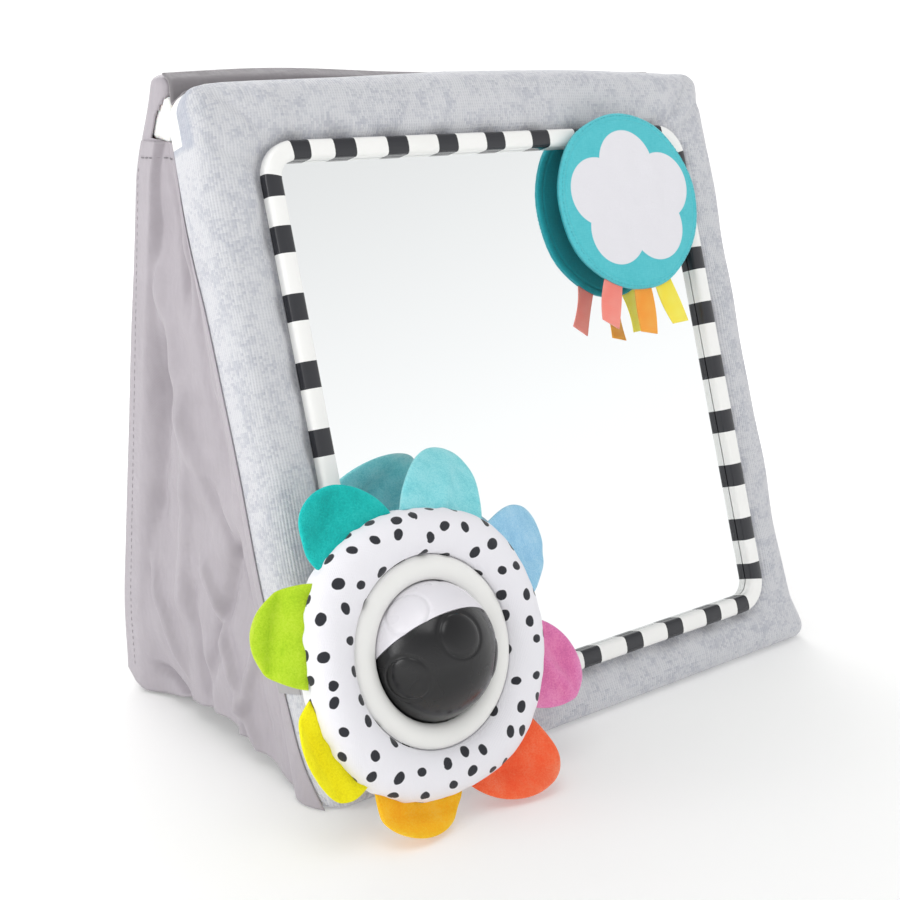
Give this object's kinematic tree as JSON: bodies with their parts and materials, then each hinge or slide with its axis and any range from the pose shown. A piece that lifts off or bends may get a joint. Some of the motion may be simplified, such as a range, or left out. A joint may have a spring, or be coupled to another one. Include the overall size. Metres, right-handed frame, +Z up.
{
  "type": "tummy time floor mirror",
  "caption": "Soft baby floor mirror on a folding padded A-frame, with a plush flower round a spinning rattle ball and a hanging crinkle page",
  "frame": {"origin": "the middle of the flat of the front panel's foot, on the floor, midway between the panel's sides", "axes": "+Z up, X across the panels with the page's side positive, Y from the mirror's side to the back panel; metres"},
  "size_m": [0.3192, 0.2089, 0.2754],
  "materials": {
    "knit": "heather grey knit",
    "woven": "grey woven polyester",
    "foam": "white polyurethane foam",
    "board": "stiff polyethylene board",
    "white_plastic": "white ABS",
    "acrylic_mirror": "mirrored acrylic",
    "webbing": "grey webbing",
    "jersey": "white jersey with dark dots",
    "filling": "polyester filling",
    "black_plastic": "black ABS",
    "axle": "steel rod",
    "bead": "plastic beads",
    "turquoise_cotton": "turquoise cotton",
    "teal_cotton": "teal cotton",
    "film": "crinkle film",
    "lime_velour": "velour",
    "teal_green_velour": "velour",
    "turquoise_velour": "velour",
    "blue_velour": "velour",
    "pink_velour": "velour",
    "red_velour": "velour",
    "orange_velour": "velour",
    "yellow_velour": "velour",
    "pink_ribbon": "satin ribbon",
    "orange_ribbon": "satin ribbon",
    "yellow_ribbon": "satin ribbon"
  },
  "bodies": {
    "front": {"front_cover": "knit", "front_lining": "woven", "front_foam": "foam", "front_board": "board", "mirror_frame": "white_plastic", "mirror_sheet": "acrylic_mirror", "mirror_backer": "white_plastic", "page_anchor": "webbing", "strap_anchor": "webbing", "gusset_left": "woven", "gusset_right": "woven", "hinge_tape": "woven"},
    "back": {"back_cover": "woven", "back_foam": "foam", "back_board": "board"},
    "flower": {"flower_front": "jersey", "flower_back": "jersey", "flower_filling": "filling", "bezel_front": "white_plastic", "bezel_back": "white_plastic", "petal_lime": "lime_velour", "petal_teal_green": "teal_green_velour", "petal_turquoise": "turquoise_velour", "petal_blue": "blue_velour", "petal_pink": "pink_velour", "petal_red": "red_velour", "petal_orange": "orange_velour", "petal_yellow": "yellow_velour", "flower_strap": "webbing"},
    "ball": {"ball_black_half": "black_plastic", "ball_white_half": "white_plastic", "ball_axle": "axle", "rattle_bead_1": "bead", "rattle_bead_2": "bead", "rattle_bead_3": "bead"},
    "page": {"page_front": "turquoise_cotton", "page_back": "teal_cotton", "page_film": "film", "page_tab": "webbing", "ribbon_pink": "pink_ribbon", "ribbon_orange": "orange_ribbon", "ribbon_yellow": "yellow_ribbon"}
  },
  "joints": [
    {"name": "fold", "type": "hinge", "parent": "front", "child": "back", "pos_m": [0, 0.10075, 0.27086], "axis": [1, 0, 0], "range_deg": [-25, 0], "deforming": ["gusset_left", "gusset_right", "hinge_tape"]},
    {"name": "flower_flip", "type": "hinge", "parent": "front", "child": "flower", "pos_m": [-0.1444, 0.00931, 0.05499], "axis": [0, -0.2924, -0.9563], "range_deg": [0, 110]},
    {"name": "ball_spin", "type": "hinge", "parent": "flower", "child": "ball", "pos_m": [-0.1067, -0.0211, 0.06428], "axis": [1, 0, 0], "continuous": true},
    {"name": "page_flip", "type": "hinge", "parent": "front", "child": "page", "pos_m": [0.0687, 0.06497, 0.25244], "axis": [-1, 0, 0], "range_deg": [0, 90]}
  ]
}
